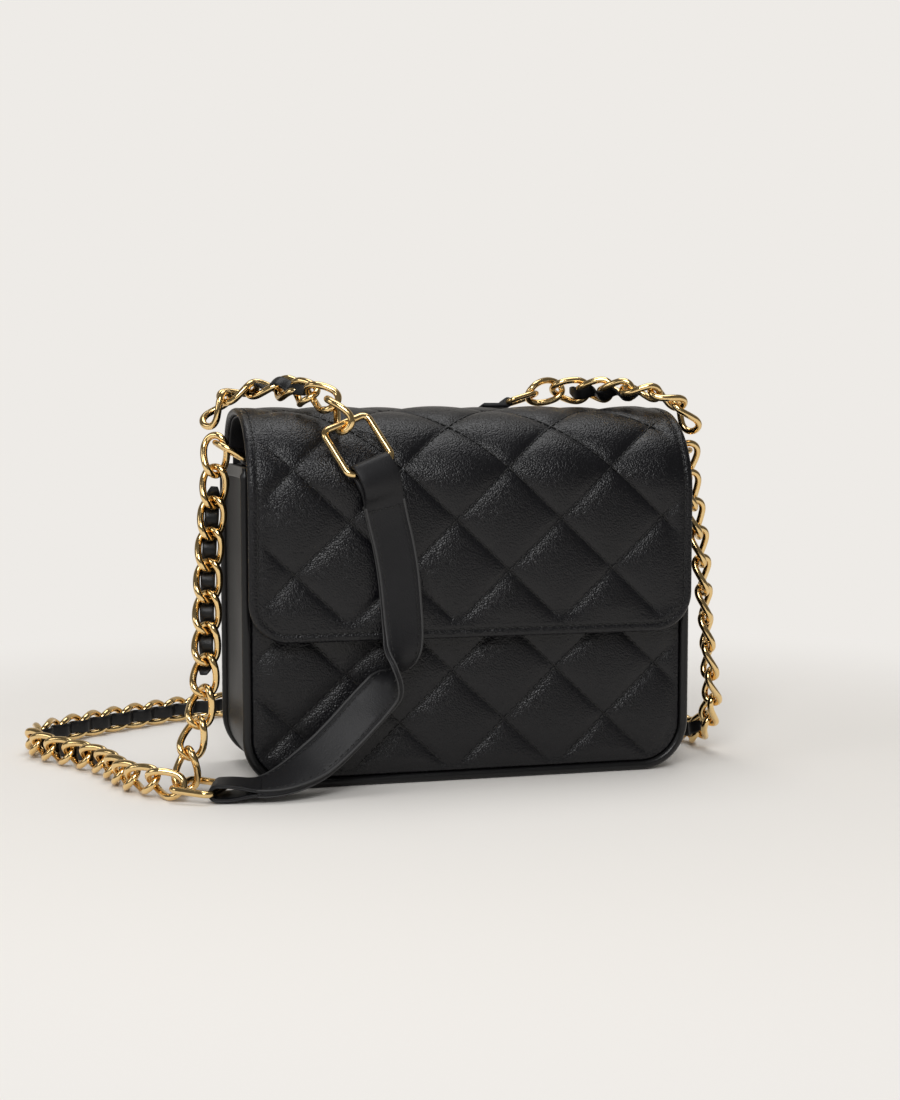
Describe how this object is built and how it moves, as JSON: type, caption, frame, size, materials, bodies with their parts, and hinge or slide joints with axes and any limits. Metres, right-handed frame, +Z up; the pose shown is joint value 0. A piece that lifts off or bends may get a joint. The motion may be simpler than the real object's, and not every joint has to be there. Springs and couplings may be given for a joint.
{
  "type": "chain shoulder bag",
  "caption": "Small structured shoulder bag with a quilted wrap-over flap, piped panels, rounded bottom corners and a long gold chain laced with leather, ending in a leather shoulder strap.",
  "frame": {"origin": "centre of the bag's flat bottom, on the floor it stands on", "axes": "+X to the bag's right as seen from the front, +Y to its back, +Z up"},
  "size_m": [0.314, 0.2101, 0.1756],
  "materials": {
    "quilted_leather": "black fine-pebbled leather with a soft sheen, stitched in diamonds",
    "smooth_leather": "black smooth leather with painted edges",
    "lining_cloth": "black woven lining cloth",
    "base_stiffener": "grey stiffening board, hidden",
    "snap_steel": "plated steel magnetic snap",
    "gold_plated_brass": "polished warm yellow gold plate"
  },
  "bodies": {
    "bag": {"front_panel": "quilted_leather", "back_panel": "quilted_leather", "gusset": "quilted_leather", "front_piping": "smooth_leather", "back_piping": "smooth_leather", "left_gusset_facing": "smooth_leather", "right_gusset_facing": "smooth_leather", "left_tab": "smooth_leather", "right_tab": "smooth_leather", "lace_left_drop": "smooth_leather", "lace_floor": "smooth_leather", "shoulder_strap": "smooth_leather", "lining": "lining_cloth", "slip_pocket": "lining_cloth", "base_board": "base_stiffener", "snap_socket": "snap_steel", "chain_left_drop": "gold_plated_brass", "chain_floor": "gold_plated_brass", "chain_right_rise": "gold_plated_brass", "lower_ring": "gold_plated_brass"},
    "flap": {"flap_shell": "quilted_leather", "flap_lining": "lining_cloth", "snap_stud": "snap_steel", "flap_top_tab": "smooth_leather", "flap_top_d_ring": "gold_plated_brass", "chain_top_left": "gold_plated_brass", "chain_top_right": "gold_plated_brass", "lace_top_left": "smooth_leather", "lace_top_right": "smooth_leather", "upper_ring": "gold_plated_brass"},
    "left_ring": {"left_d_ring": "gold_plated_brass"},
    "right_ring": {"right_d_ring": "gold_plated_brass"}
  },
  "joints": [
    {"name": "flap_open", "type": "hinge", "parent": "bag", "child": "flap", "pos_m": [0, 0.033, 0.1394], "axis": [-1, 0, 0], "range_deg": [0, 105], "deforming": ["shoulder_strap"]},
    {"name": "left_ring_swing", "type": "hinge", "parent": "bag", "child": "left_ring", "pos_m": [-0.0938, -0.01, 0.1386], "axis": [0, -1, 0], "range_deg": [0, 18]},
    {"name": "right_ring_swing", "type": "hinge", "parent": "bag", "child": "right_ring", "pos_m": [0.0938, -0.01, 0.1386], "axis": [0, 1, 0], "range_deg": [0, 20]}
  ]
}
